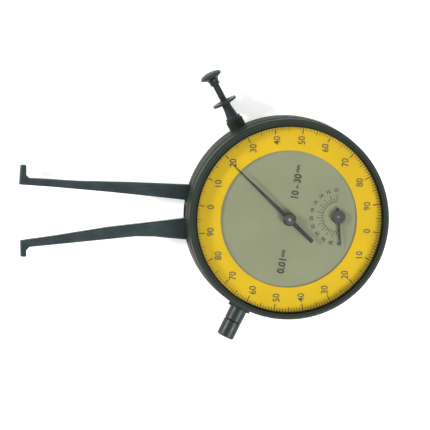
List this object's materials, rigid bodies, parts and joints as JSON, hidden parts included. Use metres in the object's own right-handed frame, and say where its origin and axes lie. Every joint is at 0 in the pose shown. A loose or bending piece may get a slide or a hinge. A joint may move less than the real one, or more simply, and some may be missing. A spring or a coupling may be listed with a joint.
{
  "type": "inside dial caliper gauge",
  "caption": "Inside dial caliper gauge: round dial body with a yellow numbered ring, two hooked measuring arms, thumb plunger and short grip.",
  "frame": {"origin": "centre of the back cover's resting face, on the dial's axis", "axes": "+Z out of the dial, -X along the arms towards the measuring tips, +Y towards the thumb plunger's side"},
  "size_m": [0.1218, 0.0899, 0.0192],
  "materials": {
    "case_paint": "satin",
    "arm_steel": "satin",
    "bright_steel": "satin",
    "spring_steel": "satin",
    "movement_brass": "satin",
    "plated_steel": "satin",
    "dial_grey": "satin",
    "dial_yellow": "matte",
    "pointer_black": "satin",
    "crystal_acrylic": "gloss",
    "seal_rubber": "matte"
  },
  "bodies": {
    "body": {"case": "case_paint", "back_cover": "case_paint", "back_cover_screws": "bright_steel", "base_plate": "movement_brass", "base_plate_screws": "bright_steel", "bridge_plate": "movement_brass", "bridge_pillars": "movement_brass", "bridge_screws": "bright_steel", "fixed_arm": "arm_steel", "fixed_arm_screws": "bright_steel", "fixed_arm_dowels": "bright_steel", "pivot_pin": "bright_steel", "pivot_washers": "bright_steel", "arm_stop_pin": "bright_steel", "spring_anchor": "bright_steel", "main_spring": "spring_steel", "hairspring_stud": "bright_steel", "hairspring": "spring_steel", "guide_sleeve": "plated_steel", "finger_flange": "plated_steel", "grip_stem": "plated_steel", "dial_plate": "dial_grey", "dial_plate_screws": "bright_steel", "bezel_spring_ring": "bright_steel"},
    "moving_arm": {"moving_arm": "arm_steel", "pivot_bush": "movement_brass", "sector_gear": "movement_brass", "sector_screws": "bright_steel", "spring_hook_pin": "bright_steel"},
    "plunger": {"plunger_rod": "bright_steel", "plunger_collar": "bright_steel", "thumb_button": "plated_steel"},
    "first_arbor": {"first_pinion": "bright_steel", "first_wheel": "movement_brass"},
    "second_arbor": {"second_pinion": "bright_steel", "second_wheel": "movement_brass"},
    "pointer": {"centre_pinion": "bright_steel", "main_pointer": "pointer_black", "pointer_boss": "pointer_black"},
    "idler": {"idler_arbor": "bright_steel", "idler_wheel": "movement_brass", "idler_transfer_wheel": "movement_brass"},
    "counter": {"counter_arbor": "bright_steel", "counter_wheel": "movement_brass", "counter_pointer": "pointer_black", "counter_boss": "pointer_black", "hairspring_collet": "movement_brass"},
    "bezel": {"bezel": "case_paint", "crystal": "crystal_acrylic", "dial_ring": "dial_yellow", "crystal_seal": "seal_rubber"}
  },
  "joints": [
    {"name": "arm_swing", "type": "hinge", "parent": "body", "child": "moving_arm", "pos_m": [-0.0189, -0.001, 0.01], "axis": [0, 0, -1], "range_deg": [0, 15], "stiffness_Nm_per_rad": 0.05, "springref_deg": -57.3, "deforming": ["main_spring"]},
    {"name": "plunger_push", "type": "slide", "parent": "body", "child": "plunger", "axis": [0.4695, -0.8829, 0], "range_m": [0, 0.0045]},
    {"name": "first_arbor_turn", "type": "hinge", "parent": "body", "child": "first_arbor", "pos_m": [0.00262, -0.01244, 0.01], "axis": [0, 0, 1], "range_deg": [0, 180.2]},
    {"name": "second_arbor_turn", "type": "hinge", "parent": "body", "child": "second_arbor", "pos_m": [0.00575, -0.00481, 0.01], "axis": [0, 0, -1], "range_deg": [0, 810.2]},
    {"name": "pointer_turn", "type": "hinge", "parent": "body", "child": "pointer", "pos_m": [0, 0, 0.01], "axis": [0, 0, 1], "range_deg": [0, 3240.8]},
    {"name": "idler_turn", "type": "hinge", "parent": "body", "child": "idler", "pos_m": [0.01285, -0.00601, 0.01], "axis": [0, 0, 1], "range_deg": [0, 162.2]},
    {"name": "counter_turn", "type": "hinge", "parent": "body", "child": "counter", "pos_m": [0.0164, 0.0006, 0.01], "axis": [0, 0, -1], "range_deg": [0, 162.2], "deforming": ["hairspring"]},
    {"name": "bezel_turn", "type": "hinge", "parent": "body", "child": "bezel", "pos_m": [0, 0, 0.0156], "axis": [0, 0, 1], "continuous": true}
  ],
  "couplings": [
    {"joint": "plunger_push", "follows": "arm_swing", "m_per_rad": 0.017108},
    {"joint": "first_arbor_turn", "follows": "arm_swing", "ratio": 12},
    {"joint": "second_arbor_turn", "follows": "arm_swing", "ratio": 54},
    {"joint": "pointer_turn", "follows": "arm_swing", "ratio": 216},
    {"joint": "idler_turn", "follows": "arm_swing", "ratio": 10.8},
    {"joint": "counter_turn", "follows": "arm_swing", "ratio": 10.8}
  ]
}
